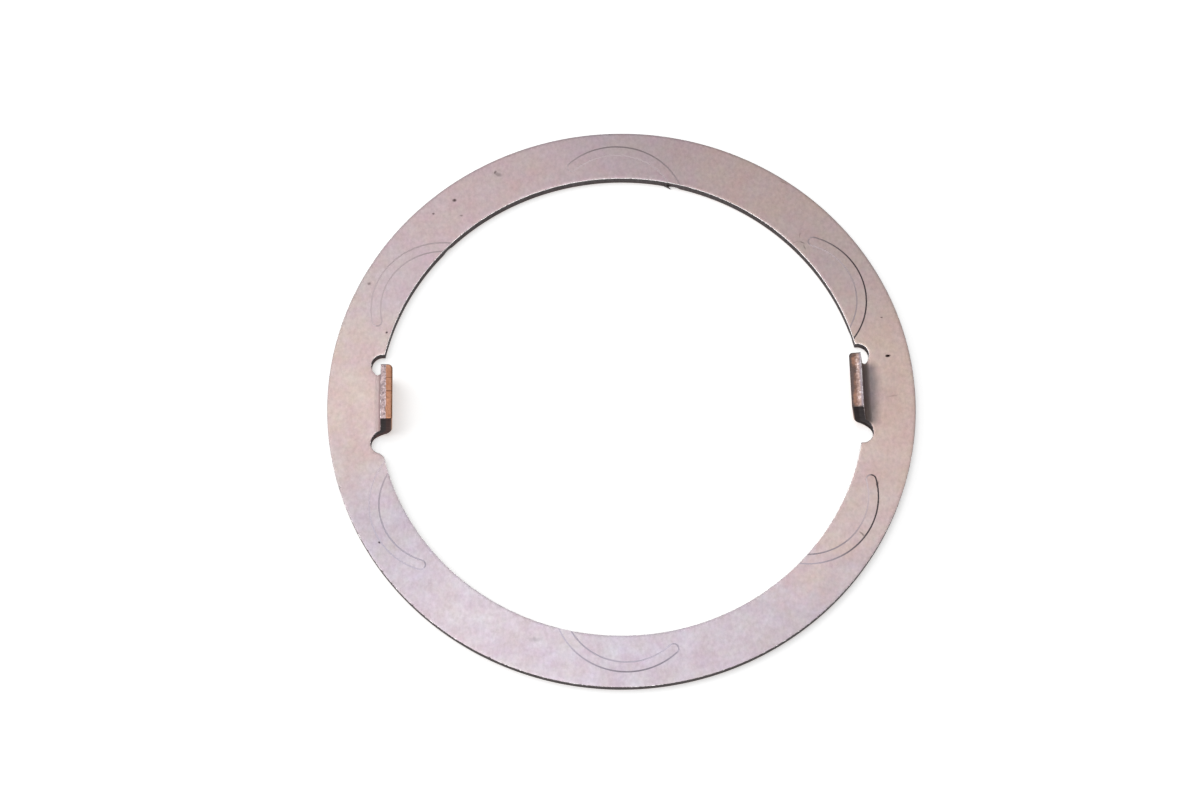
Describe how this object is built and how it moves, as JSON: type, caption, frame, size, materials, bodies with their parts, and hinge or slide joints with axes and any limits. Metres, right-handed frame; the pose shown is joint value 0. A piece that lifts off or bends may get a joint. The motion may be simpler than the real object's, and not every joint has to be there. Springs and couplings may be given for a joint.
{
  "type": "thrust washer",
  "caption": "Flat thrust washer with locking tabs bent up at the edge of its hole, round relief notches beside them and curved oil grooves in its bearing face.",
  "frame": {"origin": "on the washer's axis, in the plane of its bearing face", "axes": "+Z along the axis, from the bearing face to the back, the way the tabs stand; +X through the middle of a tab"},
  "size_m": [0.092, 0.092, 0.0077],
  "materials": {
    "bearing_strip": "rolled steel back with a bearing-bronze face"
  },
  "bodies": {
    "root": {"washer": "bearing_strip"}
  },
  "joints": []
}
